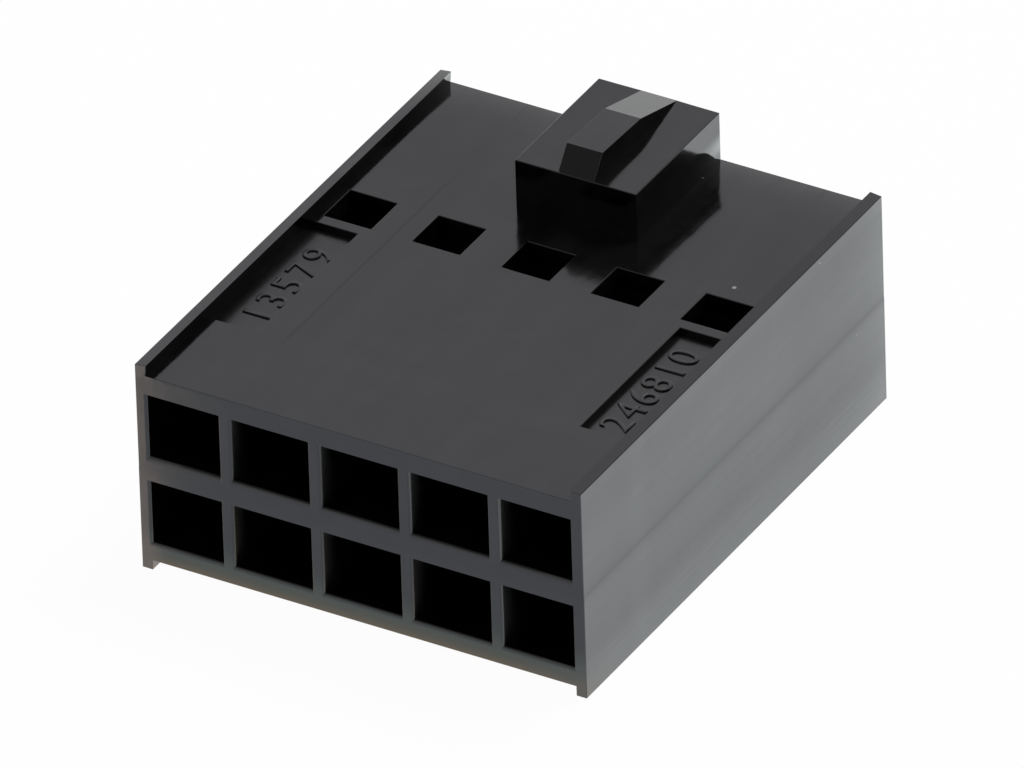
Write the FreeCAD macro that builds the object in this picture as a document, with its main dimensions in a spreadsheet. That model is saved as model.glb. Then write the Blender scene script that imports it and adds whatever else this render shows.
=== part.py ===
import FreeCAD, Part
import math
import os
import Sketcher

# Receptacle housing for a cable: one black moulding that holds two rows of crimped terminals.
# Lengths are millimetres. X runs across the circuits and +Y from the wire entry to the mating face.
# +Z is up. The origin lies under the middle of the housing, level with the soles of its lower rails.

doc = FreeCAD.newDocument("cable_connector")

# Each driving size has one row here: its name, its value and what it is.
drivingSizes = (
    ("circuits", 5, "circuits in each row"),
    ("pitch", 2.54, "from one circuit to the next in a row"),
    ("row_pitch", 2.54, "from the lower row to the upper row"),
    ("stack_gap", 0.06, "air between two housings set end to end on the same pitch"),
    ("body_length", 15.07, "wire entry face to mating face"),
    ("rail_rise", 0.27, "how far the four corner rails stand off the broad faces"),
    ("rail_width", 0.30, "thickness of a corner rail"),
    ("cover_wall", 0.55, "wall above the upper row and below the lower row"),
    ("end_wall", 0.33, "wall outside the last circuit of a row"),
    ("cavity_width", 2.23, "terminal cavity across the row"),
    ("cavity_height", 1.81, "terminal cavity up and down"),
    ("mating_wall", 0.90, "wall between the cavities and the mating face"),
    ("pin_hole", 1.00, "side of the square hole that a header pin enters"),
    ("funnel_mouth", 1.56, "side of the lead-in round a pin hole, at the mating face"),
    ("funnel_depth", 0.35, "depth of that lead-in"),
    ("window_width", 1.35, "terminal lock window across the row"),
    ("window_length", 1.31, "terminal lock window along the cavity"),
    ("window_setback", 5.46, "mating face back to the windows"),
    ("recess_bar", 0.34, "full-thickness bar between a window and a number recess"),
    ("recess_length", 4.96, "number recess along the rail"),
    ("recess_width", 1.43, "number recess, from the rail inwards"),
    ("recess_depth", 0.18, "how far a number recess is sunk"),
    ("block_width", 3.45, "latch block across the row"),
    ("block_length", 4.21, "latch block, back from the mating face"),
    ("block_rise", 1.37, "latch block above the top face"),
    ("ramp_width", 1.02, "latch ramp across the row"),
    ("ramp_rise", 0.58, "crest of the latch ramp above the block"),
    ("ramp_setback", 0.06, "edge of the block to the foot of the locking slope"),
    ("lock_run", 0.44, "length over which the locking slope rises"),
    ("crown_length", 1.91, "nearly level top of the ramp"),
    ("crown_fall", 0.08, "drop of that top towards the mating face"),
)

sizes = doc.addObject("Spreadsheet::Sheet", "sizes")
for row, (name, value, meaning) in enumerate(drivingSizes, start=1):
    sizes.set("A%d" % row, name)
    sizes.set("B%d" % row, str(value))
    sizes.set("C%d" % row, meaning)
    sizes.setAlias("B%d" % row, name)
doc.recompute()

# Places that follow from the driving sizes, each written as an expression on the sheet.
halfWidth = "(sizes.circuits * sizes.pitch - sizes.stack_gap) / 2"
railInside = "(%s - sizes.rail_width)" % halfWidth
bodyHeight = "(sizes.row_pitch + sizes.cavity_height + 2 * sizes.cover_wall)"
topFace = "(sizes.rail_rise + %s)" % bodyHeight
entryFace = "(-sizes.body_length / 2)"
matingFace = "(sizes.body_length / 2)"
windowFar = "(%s - sizes.window_setback)" % matingFace
windowNear = "(%s - sizes.window_length)" % windowFar
recessFar = "(%s - sizes.recess_bar)" % windowNear
recessNear = "(%s - sizes.recess_length)" % recessFar
blockNear = "(%s - sizes.block_length)" % matingFace
blockTop = "(%s + sizes.block_rise)" % topFace


def circuitPlace(column):
    # Middle of a circuit, counted from 0 at the -X end.
    return "(%d - (sizes.circuits - 1) / 2) * sizes.pitch" % column


def rowHeight(row):
    # Middle of the lower row (0) or the upper row (1).
    return "(sizes.rail_rise + %s / 2 + (%d - 0.5) * sizes.row_pitch)" % (bodyHeight, row)


def originPlane(role):
    for feature in housing.Origin.OriginFeatures:
        if feature.Role == role:
            return feature


def newSketch(name, role, offset):
    # A sketch on one of the body's own origin planes, moved along the plane's normal.
    sketch = housing.newObject("Sketcher::SketchObject", name)
    sketch.AttachmentSupport = [(originPlane(role), "")]
    sketch.MapMode = "FlatFace"
    sketch.setExpression("AttachmentOffset.Base.z", offset)
    return sketch


def bindPoint(sketch, name, kind, line, expression):
    # Hold the start of a line at a distance from the sketch origin that the sheet gives.
    index = sketch.addConstraint(Sketcher.Constraint(kind, -1, 1, line, 1, 1.0))
    sketch.renameConstraint(index, name)
    sketch.setExpression("Constraints." + name, expression)


def closedLines(sketch, corners):
    # Straight lines from corner to corner, joined end to start.
    first = sketch.GeometryCount
    count = len(corners)
    for index, corner in enumerate(corners):
        ending = corners[(index + 1) % count]
        start = FreeCAD.Vector(corner[0], corner[1], 0)
        sketch.addGeometry(Part.LineSegment(start, FreeCAD.Vector(ending[0], ending[1], 0)))
    for index in range(count):
        following = first + (index + 1) % count
        sketch.addConstraint(Sketcher.Constraint("Coincident", first + index, 2, following, 1))
    return first


def addRectangle(sketch, name, left, right, low, high):
    # Drawn as a unit square, which its four bound distances carry to its place.
    first = closedLines(sketch, ((1, 1), (2, 1), (2, 2), (1, 2)))
    for line in (first, first + 2):
        sketch.addConstraint(Sketcher.Constraint("Horizontal", line))
    for line in (first + 1, first + 3):
        sketch.addConstraint(Sketcher.Constraint("Vertical", line))
    bindPoint(sketch, name + "_left", "DistanceX", first, left)
    bindPoint(sketch, name + "_low", "DistanceY", first, low)
    bindPoint(sketch, name + "_right", "DistanceX", first + 2, right)
    bindPoint(sketch, name + "_high", "DistanceY", first + 2, high)


def addOutline(sketch, name, places):
    # Drawn round a circle, which the bound distances of its corners carry to its shape.
    turn = 2 * math.pi / len(places)
    circle = [(3 * math.cos(turn * i), 3 * math.sin(turn * i)) for i in range(len(places))]
    first = closedLines(sketch, circle)
    for index, (across, up) in enumerate(places):
        bindPoint(sketch, "%s_across_%d" % (name, index), "DistanceX", first + index, across)
        bindPoint(sketch, "%s_up_%d" % (name, index), "DistanceY", first + index, up)


def addPad(name, sketch, length, symmetric):
    pad = housing.newObject("PartDesign::Pad", name)
    pad.Profile = sketch
    pad.SideType = "Symmetric" if symmetric else "One side"
    pad.setExpression("Length", length)
    doc.recompute()
    return pad


def addPocket(name, sketch, depth, backwards):
    # A pocket must take material away: one that points out of the solid would change nothing.
    before = housing.Tip.Shape.Volume
    pocket = housing.newObject("PartDesign::Pocket", name)
    pocket.Profile = sketch
    pocket.Reversed = backwards
    pocket.setExpression("Length", depth)
    doc.recompute()
    if pocket.Shape.Volume >= before:
        raise RuntimeError("%s takes nothing away" % name)
    return pocket


def repeatAlongRow(name, pocket):
    pattern = housing.newObject("PartDesign::LinearPattern", name)
    pattern.Originals = [pocket]
    pattern.Direction = (originPlane("X_Axis"), [""])
    pattern.Mode = "Spacing"
    pattern.setExpression("Offset", "sizes.pitch")
    pattern.setExpression("Occurrences", "sizes.circuits")
    housing.Tip = pattern
    doc.recompute()
    return pattern


housing = doc.addObject("PartDesign::Body", "housing")
housing.Label = "housing"


def makeShell():
    # The section: a box with a low rail along each of its four long edges.
    section = newSketch("section", "XZ_Plane", "0")
    right = (
        (railInside, "0"),
        (halfWidth, "0"),
        (halfWidth, "%s + sizes.rail_rise" % topFace),
        (railInside, "%s + sizes.rail_rise" % topFace),
        (railInside, topFace),
    )
    upperLeft = (right[4], right[3], right[2], right[1], right[0])
    places = [(railInside, "sizes.rail_rise")]
    places += right
    places += [("-" + across, up) for across, up in upperLeft]
    places += [("-" + railInside, "sizes.rail_rise")]
    addOutline(section, "corner", places)
    addPad("shell", section, "sizes.body_length", True)


def makeCavities():
    # Open at the wire entry face. The last cavity of each row is cut short by the end wall.
    mouths = newSketch("cavity_mouths", "XZ_Plane", matingFace)
    last = int(sizes.circuits) - 1
    for row in (0, 1):
        low = "%s - sizes.cavity_height / 2" % rowHeight(row)
        high = "%s + sizes.cavity_height / 2" % rowHeight(row)
        for column in range(last + 1):
            left = "%s - sizes.cavity_width / 2" % circuitPlace(column)
            right = "%s + sizes.cavity_width / 2" % circuitPlace(column)
            if column == 0:
                left = "sizes.end_wall - %s" % halfWidth
            if column == last:
                right = "%s - sizes.end_wall" % halfWidth
            addRectangle(mouths, "cavity_%d_%d" % (row, column), left, right, low, high)
    addPocket("cavities", mouths, "sizes.body_length - sizes.mating_wall", False)


def addSquare(sketch, name, row, side):
    # A square round the first circuit of a row.
    half = "sizes.%s / 2" % side
    place = circuitPlace(0)
    addRectangle(sketch, name, "%s - %s" % (place, half), "%s + %s" % (place, half),
                 "%s - %s" % (rowHeight(row), half), "%s + %s" % (rowHeight(row), half))


def makePinHoles():
    # Square holes from the mating face into the cavities, each behind a tapered lead-in.
    funnels = newSketch("funnel_mouths", "XZ_Plane", entryFace)
    holes = newSketch("pin_holes", "XZ_Plane", entryFace)
    for row in (0, 1):
        addSquare(funnels, "funnel_%d" % row, row, "funnel_mouth")
        addSquare(holes, "hole_%d" % row, row, "pin_hole")
    leadIns = addPocket("lead_ins", funnels, "sizes.funnel_depth", True)
    leadIns.setExpression(
        "TaperAngle", "-atan((sizes.funnel_mouth - sizes.pin_hole) / 2 / sizes.funnel_depth)")
    repeatAlongRow("lead_in_row", leadIns)
    pinWays = addPocket("pin_ways", holes, "sizes.mating_wall", True)
    repeatAlongRow("pin_way_row", pinWays)


def makeWindows():
    # The tangs of the terminals lock in these: in the top face for the upper row, in the
    # underside for the lower one.
    left = "%s - sizes.window_width / 2" % circuitPlace(0)
    right = "%s + sizes.window_width / 2" % circuitPlace(0)
    for side, level, upwards in (("top", topFace, False), ("under", "sizes.rail_rise", True)):
        window = newSketch(side + "_window", "XY_Plane", level)
        addRectangle(window, "window", left, right, windowNear, windowFar)
        opening = addPocket(side + "_opening", window, "sizes.cover_wall", upwards)
        repeatAlongRow(side + "_window_row", opening)


def makeNumberRecesses():
    # Shallow fields beside the upper rails.
    recesses = newSketch("recess_outlines", "XY_Plane", topFace)
    inner = "%s - sizes.recess_width" % railInside
    addRectangle(recesses, "right", inner, railInside, recessNear, recessFar)
    addRectangle(recesses, "left", "-" + railInside, "-(%s)" % inner, recessNear, recessFar)
    addPocket("number_recesses", recesses, "sizes.recess_depth", False)


def makeLatch():
    # A block flush with the mating face, and on it a ramp: a steep locking slope towards the
    # wires, a crown, and a long slope that leads in.
    footprint = newSketch("block_outline", "XY_Plane", topFace)
    addRectangle(footprint, "block", "-sizes.block_width / 2", "sizes.block_width / 2",
                 blockNear, matingFace)
    addPad("latch_block", footprint, "sizes.block_rise", False)
    foot = "%s + sizes.ramp_setback" % blockNear
    crest = "%s + sizes.lock_run" % foot
    crownEnd = "%s + sizes.crown_length" % crest
    profile = newSketch("ramp_profile", "YZ_Plane", "0")
    addOutline(profile, "ramp", (
        (foot, blockTop),
        (matingFace, blockTop),
        (crownEnd, "%s + sizes.ramp_rise - sizes.crown_fall" % blockTop),
        (crest, "%s + sizes.ramp_rise" % blockTop),
    ))
    addPad("latch_ramp", profile, "sizes.ramp_width", True)


makeShell()
makeCavities()
makePinHoles()
makeWindows()
makeNumberRecesses()
makeLatch()
doc.recompute()

for item in doc.Objects:
    if "Invalid" in item.State or "Error" in item.State:
        raise RuntimeError("%s did not build: %s" % (item.Label, item.State))

os.makedirs("parts", exist_ok=True)
for node in (housing,):
    shape = node.Shape
    if shape.isNull() or not shape.isValid():
        raise RuntimeError("%s has no sound shape" % node.Label)
    shape.exportStep("parts/%s.step" % node.Label)
    box = shape.BoundBox
    print("%s: %d solid, %.2f x %.2f x %.2f mm, %.1f cubic mm" % (
        node.Label, len(shape.Solids), box.XLength, box.YLength, box.ZLength, shape.Volume))
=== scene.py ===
import bpy
import bmesh
import math
from mathutils import Matrix, Vector


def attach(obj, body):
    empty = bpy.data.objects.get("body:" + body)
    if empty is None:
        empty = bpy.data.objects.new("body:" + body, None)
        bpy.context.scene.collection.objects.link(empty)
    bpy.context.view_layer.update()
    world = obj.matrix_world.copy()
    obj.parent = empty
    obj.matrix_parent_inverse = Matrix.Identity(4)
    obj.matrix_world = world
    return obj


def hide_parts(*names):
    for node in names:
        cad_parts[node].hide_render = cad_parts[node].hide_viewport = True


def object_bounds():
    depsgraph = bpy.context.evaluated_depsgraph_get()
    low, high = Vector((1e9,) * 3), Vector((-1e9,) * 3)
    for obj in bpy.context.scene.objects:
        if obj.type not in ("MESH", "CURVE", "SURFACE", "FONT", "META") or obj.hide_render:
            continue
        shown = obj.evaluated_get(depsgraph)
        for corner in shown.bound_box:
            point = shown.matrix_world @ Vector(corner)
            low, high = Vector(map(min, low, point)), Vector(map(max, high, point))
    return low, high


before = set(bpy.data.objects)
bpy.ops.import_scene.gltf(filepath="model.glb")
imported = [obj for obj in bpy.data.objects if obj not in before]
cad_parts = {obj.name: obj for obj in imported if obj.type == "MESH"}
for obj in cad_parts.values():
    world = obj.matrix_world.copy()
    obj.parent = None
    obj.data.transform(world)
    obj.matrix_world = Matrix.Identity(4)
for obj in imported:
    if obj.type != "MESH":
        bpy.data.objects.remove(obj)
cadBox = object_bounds()
scene = bpy.context.scene
mm = 0.001    # pieces are shaped in millimetres and brought to metres when they are done
print("loaded the frame")


# small helpers

def pick(thing):
    # make one object the only selected and active one
    if bpy.context.object and bpy.context.object.mode != "OBJECT":
        bpy.ops.object.mode_set(mode="OBJECT")
    bpy.ops.object.select_all(action="DESELECT")
    thing.select_set(True)
    bpy.context.view_layer.objects.active = thing


def toMetres(thing):
    thing.data.transform(Matrix.Scale(mm, 4))
    thing.data.update()


def applyAll(thing):
    pick(thing)
    for modifier in list(thing.modifiers):
        bpy.ops.object.modifier_apply(modifier=modifier.name)


def slide(tree, value, low, high, start=0.0, end=1.0):
    # a soft step from one number to another, as a value passes between two limits
    step = tree.nodes.new("ShaderNodeMapRange")
    step.interpolation_type = "SMOOTHSTEP"
    limits = {"From Min": low, "From Max": high, "To Min": start, "To Max": end}
    for name, number in limits.items():
        step.inputs[name].default_value = number
    tree.links.new(value, step.inputs["Value"])
    return step.outputs["Result"]


def combine(tree, how, first, second):
    # two values put together by a Math node; either may be a plain number
    step = tree.nodes.new("ShaderNodeMath")
    step.operation = how
    for socket, value in zip(step.inputs, (first, second)):
        if isinstance(value, (int, float)):
            socket.default_value = value
        else:
            tree.links.new(value, socket)
    return step.outputs[0]


def blendColours(tree, share, first, second):
    # from the first colour to the second as the share goes from 0 to 1
    mixed = tree.nodes.new("ShaderNodeMix")
    mixed.data_type = "RGBA"
    for name, colour in (("A", first), ("B", second)):
        if isinstance(colour, tuple):
            mixed.inputs[name].default_value = colour
        else:
            tree.links.new(colour, mixed.inputs[name])
    tree.links.new(share, mixed.inputs["Factor"])
    return mixed.outputs["Result"]


def lengthAlong(tree, spot, direction):
    # how far a spot lies along a direction
    along = tree.nodes.new("ShaderNodeVectorMath")
    along.operation = "DOT_PRODUCT"
    along.inputs[1].default_value = direction
    tree.links.new(spot, along.inputs[0])
    return along.outputs["Value"]


# the black plastic, with all its lengths in mm

plastic = {
    "deep": (0.0004, 0.0004, 0.0005, 1.0),
    "greenish": (0.0038, 0.0042, 0.0040, 1.0),
    "violet": (0.0042, 0.0037, 0.0045, 1.0),
    "cloudRange": (0.76, 1.24),    # of cloud and streaks added up, from deep to pale
    "tintRange": (0.35, 0.65),     # of the tint's noise, from greenish to violet
    # the noises, as scale per mm and detail
    "cloud": (1.1, 5.0),
    "tint": (0.4, 2.0),
    "streaks": (1.0, 3.0),
    "streakScale": (1.5, 0.12, 1.5),   # the streaks run along the housing
    "grain": (9.0, 3.0),
    "wave": (0.16, 1.0),
    "ripple": (0.7, 2.0),
    # polish
    "ior": 1.7,
    "wallRoughness": 0.25,
    "topRoughness": 0.12,          # the top face and the latch are more polished
    "polishFrom": (5.60, 5.69),    # the level where that begins, over the recess floors
    "roughnessSpread": 0.03,
    "grainRange": (0.3, 0.7),      # of the grain's noise, over the whole spread
    "grainBump": 0.02,
    "grainHeight": 0.01,
    # how high the moulded walls wander
    "waveHeight": 0.025,
    "rippleHeight": 0.007,
    "streakHeight": 0.008,
    "sideHeight": 0.06,            # of the curve below, which runs up the walls from foot to rail
    "sideCurve": (
        (0.0, 0.0), (0.3, 0.31), (0.55, 0.53), (0.8, 0.705), (1.1, 0.80),
        (1.4, 0.75), (1.7, 0.66), (2.0, 0.65), (2.3, 0.70), (2.6, 0.78),
        (2.78, 0.81), (2.9, 0.77), (3.1, 0.64), (3.22, 0.59), (3.5, 0.56),
        (4.2, 0.70), (4.9, 0.845), (5.5, 0.80), (6.0, 0.71)),
    # towards the mating face the surfaces fall away a little
    "fallFrom": 2.5,
    "fallTo": 7.5,
    "fallPower": 5.0,
    "fall": 0.105,
    "flatAbove": (5.9, 6.5),       # but not those of the latch
    # a fine step along the top, where two parts of the mould met, plainest in its middle
    "witnessLine": (-3.795, -3.725),
    "witnessStep": 0.010,
    "witnessBegins": (-5.3, -4.2),
    "witnessEnds": (2.6, 4.3),
    "witnessRest": 0.15,           # the share of it that runs on to the mating face
    # specks of dust, as place and radius
    "dust": (
        (4.89, 2.605, 5.72, 0.07), (1.76, 6.58, 5.72, 0.018),
        (6.32, 4.385, 5.84, 0.03), (6.32, 6.12, 2.70, 0.03)),
    "dustColour": (0.30, 0.30, 0.29, 1.0),
}


def makePlastic(look):
    material = bpy.data.materials.new("blackPlastic")
    material.use_nodes = True
    tree = material.node_tree
    shader = tree.nodes["Principled BSDF"]
    shader.inputs["IOR"].default_value = look["ior"]

    inMm = tree.nodes.new("ShaderNodeMapping")
    inMm.inputs["Scale"].default_value = (1 / mm, 1 / mm, 1 / mm)
    coordinates = tree.nodes.new("ShaderNodeTexCoord")
    tree.links.new(coordinates.outputs["Object"], inMm.inputs["Vector"])
    spot = inMm.outputs["Vector"]
    axes = tree.nodes.new("ShaderNodeSeparateXYZ")
    tree.links.new(spot, axes.inputs[0])
    across, along, up = (axes.outputs[name] for name in "XYZ")

    def noise(vector, name):
        pattern = tree.nodes.new("ShaderNodeTexNoise")
        for socket, value in zip(("Scale", "Detail"), look[name]):
            pattern.inputs[socket].default_value = value
        tree.links.new(vector, pattern.inputs["Vector"])
        return pattern.outputs["Fac"]

    # cloudy and streaky resin
    stretched = tree.nodes.new("ShaderNodeMapping")
    stretched.inputs["Scale"].default_value = look["streakScale"]
    tree.links.new(spot, stretched.inputs["Vector"])
    streaks = noise(stretched.outputs["Vector"], "streaks")
    cloudy = combine(tree, "ADD", noise(spot, "cloud"), streaks)
    tint = slide(tree, noise(spot, "tint"), *look["tintRange"])
    pale = blendColours(tree, tint, look["greenish"], look["violet"])
    tone = blendColours(tree, slide(tree, cloudy, *look["cloudRange"]), look["deep"], pale)
    # a few specks of dust
    for x, y, z, radius in look["dust"]:
        away = tree.nodes.new("ShaderNodeVectorMath")
        away.operation = "DISTANCE"
        away.inputs[1].default_value = (x, y, z)
        tree.links.new(spot, away.inputs[0])
        onSpeck = slide(tree, away.outputs["Value"], radius / 2, radius, 1.0, 0.0)
        tone = blendColours(tree, onSpeck, tone, look["dustColour"])
    tree.links.new(tone, shader.inputs["Base Color"])

    # polish: duller walls and recess floors under a glossier top, uneven on a fine scale
    grain = noise(spot, "grain")
    base = slide(tree, up, *look["polishFrom"], look["wallRoughness"], look["topRoughness"])
    halfSpread = look["roughnessSpread"] / 2
    uneven = slide(tree, grain, *look["grainRange"], -halfSpread, halfSpread)
    tree.links.new(combine(tree, "ADD", base, uneven), shader.inputs["Roughness"])

    # the walls wander a little, as moulded ones do: all the heights are added up
    curve = look["sideCurve"]
    curveTop = curve[-1][0]
    upTheWall = tree.nodes.new("ShaderNodeFloatCurve")
    line = upTheWall.mapping.curves[0]
    for (z, height), point in zip((curve[0], curve[-1]), line.points):
        point.location = (z / curveTop, height)
    for z, height in curve[1:-1]:
        line.points.new(z / curveTop, height)
    upTheWall.mapping.update()
    tree.links.new(combine(tree, "DIVIDE", up, curveTop), upTheWall.inputs["Value"])
    heights = [
        combine(tree, "MULTIPLY", upTheWall.outputs[0], look["sideHeight"]),
        combine(tree, "MULTIPLY", noise(spot, "wave"), look["waveHeight"]),
        combine(tree, "MULTIPLY", noise(spot, "ripple"), look["rippleHeight"]),
        combine(tree, "MULTIPLY", streaks, look["streakHeight"]),
    ]

    past = combine(tree, "SUBTRACT", along, look["fallFrom"])
    reach = look["fallTo"] - look["fallFrom"]
    past = combine(tree, "DIVIDE", combine(tree, "MAXIMUM", past, 0.0), reach)
    fall = combine(tree, "POWER", past, look["fallPower"])
    fall = combine(tree, "MULTIPLY", fall, -look["fall"])
    belowLatch = slide(tree, up, *look["flatAbove"], 1.0, 0.0)
    heights.append(combine(tree, "MULTIPLY", fall, belowLatch))

    begins = slide(tree, along, *look["witnessBegins"])
    ends = slide(tree, along, *look["witnessEnds"], 1.0, look["witnessRest"])
    plain = combine(tree, "MULTIPLY", begins, ends)
    step = slide(tree, across, *look["witnessLine"], 0.0, -look["witnessStep"])
    heights.append(combine(tree, "MULTIPLY", step, plain))

    total = heights[0]
    for height in heights[1:]:
        total = combine(tree, "ADD", total, height)
    wander = tree.nodes.new("ShaderNodeBump")
    wander.inputs["Strength"].default_value = 1.0
    wander.inputs["Distance"].default_value = mm
    tree.links.new(total, wander.inputs["Height"])
    grainBump = tree.nodes.new("ShaderNodeBump")
    grainBump.inputs["Strength"].default_value = look["grainBump"]
    grainBump.inputs["Distance"].default_value = look["grainHeight"] * mm
    tree.links.new(grain, grainBump.inputs["Height"])
    tree.links.new(wander.outputs["Normal"], grainBump.inputs["Normal"])
    tree.links.new(grainBump.outputs["Normal"], shader.inputs["Normal"])
    return material


blackPlastic = makePlastic(plastic)
print("mixed the plastic")

# the housing

# lengths of the part, in mm
part = {
    "pitch": 2.54,
    "cavityWidth": 2.23,
    "railWidth": 0.30,
    "railHeight": 0.27,
    "recessDepth": 0.18,
    "recessInside": 4.5,     # the recesses lie further out than this
    "recessEnd": 0.5,        # and further forward than this
    "blockWidth": 3.45,
    "blockHeight": 1.37,
    "rampWidth": 1.02,
    "rampHeight": 0.58,
}

# places worked out from them and from the frame's box
lowest, highest = ([value / mm for value in corner] for corner in cadBox)
place = {
    "side": highest[0],
    "front": lowest[1],
    "back": highest[1],
    "under": lowest[2] + part["railHeight"],
    "blockTop": highest[2] - part["rampHeight"],
    "circuits": [number * part["pitch"] for number in (-2, -1, 0, 1, 2)],
}
place["railInside"] = place["side"] - part["railWidth"]
place["top"] = place["blockTop"] - part["blockHeight"]
place["railTop"] = place["top"] + part["railHeight"]

# forms too fine for the solid
fine = {
    "railLip": 0.04,      # the tops of the upper rails rise this much to their inner edge
    "railLean": 0.03,     # which leans inwards this much
    # the cavities narrow behind their mouths: how far in, and by how much on each side of a wall.
    # From there the walls run back evenly to the far end.
    "narrowing": ((0.30, 0.143), (0.45, 0.198)),
    # the upper mould half stands back a little from the lower one, over a short slope
    "joint": ((2.95, 0.0), (3.04, 0.006)),
}

rounding = {
    # cavity mouths, by the side that an edge lies on
    "mouthOver": 0.01,
    "mouthUnder": 0.20,
    "mouthUnderLow": 0.13,    # the same, in the lower row
    "mouthRight": 0.03,
    "mouthLeft": 0.05,
    "mouthFirst": 0.10,       # the left-hand edges of the first cavities of the rows
    "outline": 0.02,
    "frontTop": 0.008,        # between the front and the top face
    "railOuter": 0.02,        # of the upper rails
    "railFoot": 0.02,         # of the lower rails, on the outside
    "railInner": 0.01,        # of the lower rails, and across the ends of all four
    "block": 0.02,
    "ramp": 0.008,
    "window": 0.02,
    "recess": 0.02,
    "pinHole": 0.04,
}
roundingSteps = 4

# slacks in mm, for telling an edge by where it lies
slack = {
    "merge": 0.0005,
    "on": 0.001,        # on a plane
    "past": 0.01,       # past a plane
    "moved": 0.05,      # on a side that was moved a little
}

# angles in degrees between the faces of an edge
angles = {
    "flat": 1,          # with less it lies inside a flat face
    "corner": 10,       # with more it is rounded
    "smooth": 26,       # with less the shading runs on over it
    "inner": -3,        # inner corners below it stay crisp
}


def near(value, target):
    return abs(value - target) < slack["on"]


def onWall(spot):
    # whether a spot lies on a side of one of the walls between cavities
    half = part["cavityWidth"] / 2
    return any(near(abs(spot.x - x), half) for x in place["circuits"])


def turnOf(edge):
    # the angle between the faces of an edge, below 0 in an inner corner
    return math.degrees(edge.calc_face_angle_signed(0))


def mouthRounding(edge, middle):
    # by the face inside the mouth, which looks at the middle of its cavity
    inner = min((face.normal for face in edge.link_faces), key=lambda normal: abs(normal.y))
    if inner.z > abs(inner.x):
        lowerRow = middle.z < fine["joint"][0][0]
        return rounding["mouthUnderLow"] if lowerRow else rounding["mouthUnder"]
    if inner.x > abs(inner.z):
        first = middle.x < place["circuits"][0]
        return rounding["mouthFirst"] if first else rounding["mouthLeft"]
    return rounding["mouthRight"] if -inner.x > abs(inner.z) else rounding["mouthOver"]


def roundingOf(edge):
    # how round an edge is, told by where it lies
    first, second = edge.verts[0].co, edge.verts[1].co
    middle = (first + second) / 2
    out, past = abs(middle.x), slack["past"]
    overTop = middle.z > place["top"] + past
    onSide = out > place["side"] - slack["moved"]
    onFront = near(first.y, place["front"]) and near(second.y, place["front"])
    onBack = near(first.y, place["back"]) and near(second.y, place["back"])

    def level(name):
        return near(first.z, place[name]) and near(second.z, place[name])

    # the latch
    if middle.z > place["blockTop"] + past:
        return rounding["ramp"]
    if overTop and out < part["blockWidth"] / 2 + past:
        atRamp = level("blockTop") and out < part["rampWidth"] / 2 + past
        return 0 if atRamp else rounding["block"]

    # the rails
    if out > place["railInside"] - past and (overTop or middle.z < place["under"] - past):
        if not onSide:
            return rounding["railInner"]
        return rounding["railOuter"] if overTop else rounding["railFoot"]

    # the body
    if onFront and abs(middle.z - place["top"]) < past:
        return rounding["frontTop"]
    atOutline = middle.z > place["top"] - past or middle.z < place["under"] + past
    if onSide or (atOutline and (onFront or onBack)):
        return rounding["outline"]
    if onFront:
        return mouthRounding(edge, middle)
    if onBack:
        return rounding["pinHole"]
    if level("top"):
        inRecess = out > part["recessInside"] and middle.y < part["recessEnd"]
        return rounding["recess"] if inRecess else rounding["window"]
    return rounding["window"] if level("under") else 0


def cutAt(point, normal):
    bpy.ops.mesh.select_all(action="SELECT")
    bpy.ops.mesh.bisect(plane_co=point, plane_no=normal)


def cutFaces(shell):
    pick(shell)
    bpy.ops.object.mode_set(mode="EDIT")
    bpy.ops.mesh.select_mode(type="EDGE")
    bpy.ops.mesh.select_all(action="SELECT")
    bpy.ops.mesh.remove_doubles(threshold=slack["merge"])

    # a cut through the middle of each column of cavities, so that no face goes round a hole
    for x in place["circuits"]:
        cutAt((x, 0, 0), (1, 0, 0))
    # level cuts where the two mould halves meet, and at the foot of the rails' inner walls
    levels = [z for z, inwards in fine["joint"]]
    for z in levels + [place["top"]]:
        cutAt((0, 0, z), (0, 0, 1))
    # and upright ones where the cavities narrow
    narrowAt = [place["front"] + depth for depth, inwards in fine["narrowing"]]
    for y in narrowAt:
        cutAt((0, y, 0), (0, 1, 0))

    # all other edges inside a flat face go
    mesh = bmesh.from_edit_mesh(shell.data)
    bpy.ops.mesh.select_all(action="DESELECT")
    for edge in mesh.edges:
        if abs(turnOf(edge)) > angles["flat"]:
            continue
        ends = [vertex.co for vertex in edge.verts]
        onCut = any(all(near(end.x, x) for end in ends) for x in place["circuits"])
        onSide = all(abs(end.x) > place["side"] - slack["on"] for end in ends)
        onJoint = onSide and any(all(near(end.z, z) for end in ends) for z in levels)
        onRail = all(near(end.z, place["top"]) and near(abs(end.x), place["railInside"])
                     for end in ends)
        onNarrowing = any(all(near(end.y, y) and onWall(end) for end in ends) for y in narrowAt)
        edge.select = not (onCut or onJoint or onRail or onNarrowing)
    mesh.select_flush_mode()
    bmesh.update_edit_mesh(shell.data)
    bpy.ops.mesh.dissolve_edges(use_verts=True)
    bpy.ops.mesh.select_all(action="DESELECT")
    bpy.ops.object.mode_set(mode="OBJECT")


def shapeWalls(shell):
    upperHalf, standsBack = fine["joint"][1]
    half = part["cavityWidth"] / 2
    for spot in (vertex.co for vertex in shell.data.vertices):
        if abs(spot.x) > place["side"] - slack["on"] and spot.z > upperHalf - slack["on"]:
            spot.x -= math.copysign(standsBack, spot.x)
        elif near(spot.z, place["railTop"]):
            spot.x -= math.copysign(fine["railLean"], spot.x)
            spot.z += fine["railLip"]
        elif onWall(spot):
            for depth, inwards in fine["narrowing"]:
                if near(spot.y, place["front"] + depth):
                    centre = min(place["circuits"], key=lambda x: abs(abs(spot.x - x) - half))
                    spot.x -= math.copysign(inwards, spot.x - centre)


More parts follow.
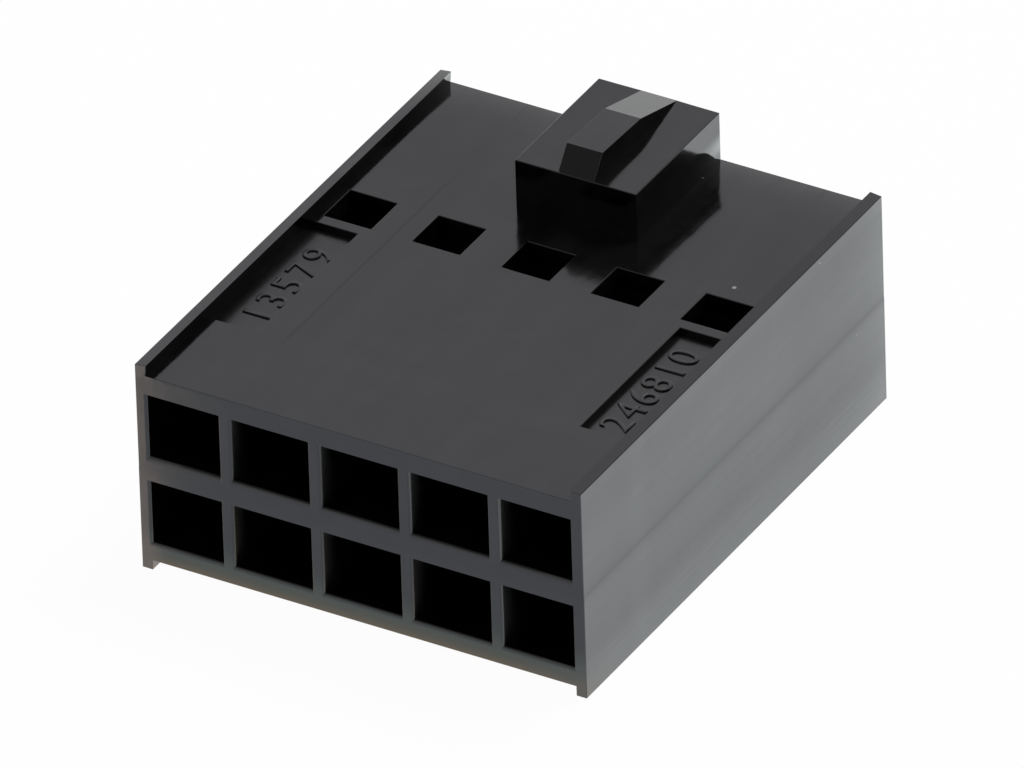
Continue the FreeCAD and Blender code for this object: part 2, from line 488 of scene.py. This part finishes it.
def roundEdges(shell):
    mesh = bmesh.new()
    mesh.from_mesh(shell.data)
    weights = mesh.edges.layers.float.new("bevel_weight_edge")
    widest = max(rounding.values())
    for edge in mesh.edges:
        if turnOf(edge) > angles["corner"]:
            edge[weights] = roundingOf(edge) / widest
    mesh.to_mesh(shell.data)
    mesh.free()

    softEdges = shell.modifiers.new("softEdges", "BEVEL")
    softEdges.limit_method = "WEIGHT"
    softEdges.width = widest
    softEdges.segments = roundingSteps
    softEdges.use_clamp_overlap = False
    softEdges.miter_outer = "MITER_SHARP"
    applyAll(shell)
    bpy.ops.object.shade_smooth_by_angle(angle=math.radians(angles["smooth"]))

    # inner corners and the joint between the mould halves stay crisp, right into the rounded edges
    levels = [z for z, inwards in fine["joint"]]
    mesh = bmesh.new()
    mesh.from_mesh(shell.data)
    for edge in mesh.edges:
        ends = [vertex.co for vertex in edge.verts]
        onSide = all(abs(end.x) > place["side"] - slack["moved"] for end in ends)
        onJoint = onSide and any(all(near(end.z, z) for end in ends) for z in levels)
        if onJoint or turnOf(edge) < angles["inner"]:
            edge.smooth = False
    mesh.to_mesh(shell.data)
    mesh.free()
    even = shell.modifiers.new("evenShading", "WEIGHTED_NORMAL")
    even.keep_sharp = True
    applyAll(shell)


def makeHousing():
    shell = bpy.data.objects.new("connectorHousing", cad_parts["housing"].data.copy())
    scene.collection.objects.link(shell)
    shell.data.transform(Matrix.Scale(1 / mm, 4))
    cutFaces(shell)
    shapeWalls(shell)
    roundEdges(shell)
    toMetres(shell)
    shell.data.materials.clear()
    shell.data.materials.append(blackPlastic)
    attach(shell, "root")
    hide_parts("housing")
    return shell


housing = makeHousing()
print("rounded the housing:", len(housing.data.polygons), "faces")

# raised numbers in the two recesses, in mm

numbers = {
    # feet is where the feet of the digits stand, across the housing
    "left": {"text": "13579", "feet": -4.68, "spacing": 1.25},
    "right": {"text": "246810", "feet": 5.60, "spacing": 1.12},
    "middle": -2.15,       # of each row, along the housing
    "height": 0.86,        # of a digit
    "heightShare": 0.72,   # of a digit in the font's size
    "relief": 0.04,
    "softness": 0.02,      # of the digits' edges
    "softSteps": 2,
    "curveSteps": 6,
    "merge": 0.001,
    "smoothBelow": 35,     # degrees
}


def makeNumbers(name, row):
    bpy.ops.object.select_all(action="DESELECT")
    bpy.ops.object.text_add(location=(0, 0, 0))
    digits = bpy.context.object
    digits.name = name
    digits.data.body = row["text"]
    digits.data.size = numbers["height"] / numbers["heightShare"]
    digits.data.space_character = row["spacing"]
    digits.data.align_x = "CENTER"
    digits.data.extrude = numbers["relief"] - numbers["softness"]
    digits.data.bevel_depth = numbers["softness"]
    digits.data.offset = -numbers["softness"]
    digits.data.bevel_resolution = numbers["softSteps"]
    digits.data.resolution_u = numbers["curveSteps"]
    bpy.ops.object.convert(target="MESH")
    digits = bpy.context.object
    # they read from the right, and the lower half of them is in the floor of the recess
    turn = Matrix.Rotation(math.radians(90), 4, "Z")
    floor = place["top"] - part["recessDepth"]
    move = Matrix.Translation((row["feet"], numbers["middle"], floor))
    digits.data.transform(move @ turn)
    pick(digits)
    bpy.ops.object.mode_set(mode="EDIT")
    bpy.ops.mesh.select_all(action="SELECT")
    bpy.ops.mesh.remove_doubles(threshold=numbers["merge"])
    bpy.ops.mesh.normals_make_consistent(inside=False)
    bpy.ops.object.mode_set(mode="OBJECT")
    bpy.ops.object.shade_smooth_by_angle(angle=math.radians(numbers["smoothBelow"]))
    toMetres(digits)
    digits.data.materials.clear()
    digits.data.materials.append(blackPlastic)
    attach(digits, "root")


makeNumbers("leftNumbers", numbers["left"])
makeNumbers("rightNumbers", numbers["right"])
print("set the numbers")

# floor, light and camera

ground = {
    "size": 3.0,            # metres
    "colour": (0.9, 0.9, 0.9, 1.0),
    "cameraWhite": 0.97,    # how much of the floor the camera sees as plain white
    # painted light and shade that the plastic's gloss sees of the floor, as it would be lit in a
    # studio: a painted shadow of the housing in front, and painted pools of light at its foot, on
    # its left and behind
    "front": (0.70, 0.74, 0.81, 1.0),
    "near": (0.93, 1.06, 1.02, 1.0),    # close in front of the housing
    "foot": (1.52, 1.28, 1.00, 1.0),    # right at its foot
    "left": (1.70, 1.50, 1.38, 1.0),    # left of the housing and in front of it
    "back": (1.31, 1.36, 1.385, 1.0),   # behind and to the right
    "far": (1.38, 1.43, 1.455, 1.0),    # further back on the same side
    # each of them takes over between two places, in mm along one of these directions
    "backwards": (0, 1, 0),
    "leftwards": (-0.86, 0.51, 0),
    "rightwards": (0.86, 0.51, 0),
    "nearFrom": (-9.5, -8.3),           # backwards
    "footFrom": (-8.12, -7.85),
    "farFrom": (2.0, 7.0),
    "leftUntil": (-7.5, -7.0),
    "leftFrom": (0.95, 1.55),           # leftwards, where the housing's front corner lies at 1.59
    "backFrom": (-1.0, 3.0),            # rightwards
}


def makeFloor():
    bpy.ops.object.select_all(action="DESELECT")
    bpy.ops.mesh.primitive_plane_add(size=ground["size"], location=(0, 0, 0))
    floor = bpy.context.object
    floor.name = "paleFloor"
    material = bpy.data.materials.new("paleTable")
    material.use_nodes = True
    tree = material.node_tree
    tree.nodes.remove(tree.nodes["Principled BSDF"])
    paint = tree.nodes.new("ShaderNodeBsdfDiffuse")
    paint.inputs["Color"].default_value = ground["colour"]
    spot = tree.nodes.new("ShaderNodeTexCoord").outputs["Object"]

    def past(limits, direction):
        # from 0 to 1, as a spot on the floor passes two places along a direction
        perMm = tuple(share / mm for share in ground[direction])
        return slide(tree, lengthAlong(tree, spot, perMm), *ground[limits])

    # painted reflections: darker in front where the housing's shadow is painted, and lighter at
    # its foot, on its left and behind
    behind = blendColours(tree, past("farFrom", "backwards"), ground["back"], ground["far"])
    onLeft = blendColours(tree, past("leftUntil", "backwards"), ground["left"], behind)
    tone = blendColours(tree, past("nearFrom", "backwards"), ground["front"], ground["near"])
    tone = blendColours(tree, past("footFrom", "backwards"), tone, ground["foot"])
    tone = blendColours(tree, past("leftFrom", "leftwards"), tone, onLeft)
    tone = blendColours(tree, past("backFrom", "rightwards"), tone, behind)
    # the painted tones glow for glossy rays only, in place of the lit floor
    glow = tree.nodes.new("ShaderNodeEmission")
    tree.links.new(tone, glow.inputs["Color"])
    ray = tree.nodes.new("ShaderNodeLightPath")
    seen = tree.nodes.new("ShaderNodeMixShader")
    tree.links.new(ray.outputs["Is Glossy Ray"], seen.inputs["Fac"])
    tree.links.new(paint.outputs[0], seen.inputs[1])
    tree.links.new(glow.outputs[0], seen.inputs[2])

    # the camera sees it nearly white, with the object's shadow left in
    white = tree.nodes.new("ShaderNodeEmission")
    whiteShare = combine(tree, "MULTIPLY", ray.outputs["Is Camera Ray"], ground["cameraWhite"])
    blend = tree.nodes.new("ShaderNodeMixShader")
    tree.links.new(whiteShare, blend.inputs["Fac"])
    tree.links.new(seen.outputs[0], blend.inputs[1])
    tree.links.new(white.outputs[0], blend.inputs[2])
    tree.links.new(blend.outputs[0], tree.nodes["Material Output"].inputs["Surface"])
    floor.data.materials.append(material)


sky = {
    "softbox": (0.61, 0.61, 0.64, 1.0),    # behind and to the left, which the top mirrors
    "room": (0.15, 0.15, 0.155, 1.0),      # all round it
    "horizon": (1.07, 1.075, 1.09, 1.0),
    "horizonElsewhere": 0.45,              # its share away from the softbox
    "cameraSees": (1.0, 1.0, 1.0, 1.0),
    "towards": (-0.51, 0.86, 0),           # the way to the softbox
    # ranges of a unit direction: along that way, and upwards
    "softboxFrom": (0.42, 0.72),
    "horizonFrom": (0.3, 0.7),
    "horizonHeight": (0.2, 0.49),
}


def makeWorld():
    world = bpy.data.worlds.new("studio")
    scene.world = world
    world.use_nodes = True
    tree = world.node_tree
    direction = tree.nodes.new("ShaderNodeTexCoord").outputs["Generated"]
    # a wide softbox in a darker room, and a bright horizon that is brightest below the softbox
    towards = lengthAlong(tree, direction, sky["towards"])
    height = lengthAlong(tree, direction, (0, 0, 1))
    onSoftbox = slide(tree, towards, *sky["softboxFrom"])
    tone = blendColours(tree, onSoftbox, sky["room"], sky["softbox"])
    low = slide(tree, height, *sky["horizonHeight"], 1.0, 0.0)
    share = slide(tree, towards, *sky["horizonFrom"], sky["horizonElsewhere"], 1.0)
    tone = blendColours(tree, combine(tree, "MULTIPLY", low, share), tone, sky["horizon"])
    ray = tree.nodes.new("ShaderNodeLightPath")
    tone = blendColours(tree, ray.outputs["Is Camera Ray"], tone, sky["cameraSees"])
    tree.links.new(tone, tree.nodes["Background"].inputs["Color"])


keyLight = {
    "level": 0.7,                          # how bright it makes a white surface that faces it
    "direction": (0.25, 0.42, 0.87),
    "distance": 0.6,                       # metres, as the size
    "size": 0.25,
}


def makeKey():
    lamp = bpy.data.lights.new("key", "AREA")
    lamp.shape = "DISK"
    lamp.size = keyLight["size"]
    direction = Vector(keyLight["direction"]).normalized()
    lamp.energy = keyLight["level"] * math.pi ** 2 * keyLight["distance"] ** 2
    key = bpy.data.objects.new("key", lamp)
    scene.collection.objects.link(key)
    key.location = direction * keyLight["distance"]
    key.rotation_euler = direction.to_track_quat("Z", "Y").to_euler()
    key.visible_glossy = False


view = {
    "azimuth": 30.84,           # degrees
    "elevation": 33.35,
    "roll": -1.87,
    "lens": 1000.0,
    "sensor": 36,
    "aim": (0.0, -0.535, 3.27), # mm, as the next three
    "distance": 702.9,
    "slideRight": -0.252,       # of the picture
    "slideUp": 0.039,
    "seesTo": 10,               # metres
}


def makeCamera():
    azimuth, elevation, roll = (math.radians(view[k]) for k in ("azimuth", "elevation", "roll"))
    back = Vector((math.sin(azimuth) * math.cos(elevation),
                   -math.cos(azimuth) * math.cos(elevation),
                   math.sin(elevation)))
    right = (-back).cross(Vector((0, 0, 1))).normalized()
    up = right.cross(-back)
    turned = math.cos(roll) * right + math.sin(roll) * up
    raised = math.cos(roll) * up - math.sin(roll) * right
    spot = Vector(view["aim"]) + back * view["distance"]
    spot -= turned * view["slideRight"] + raised * view["slideUp"]
    data = bpy.data.cameras.new("photoCamera")
    data.lens = view["lens"]
    data.sensor_width = view["sensor"]
    data.clip_end = view["seesTo"]
    camera = bpy.data.objects.new("photoCamera", data)
    scene.collection.objects.link(camera)
    axes = Matrix((turned, raised, back)).transposed().to_4x4()
    camera.matrix_world = Matrix.Translation(spot * mm) @ axes
    bpy.context.scene.camera = camera


makeFloor()
makeWorld()
makeKey()
makeCamera()
scene.view_settings.view_transform = "Standard"
print("lit the scene and set the camera")
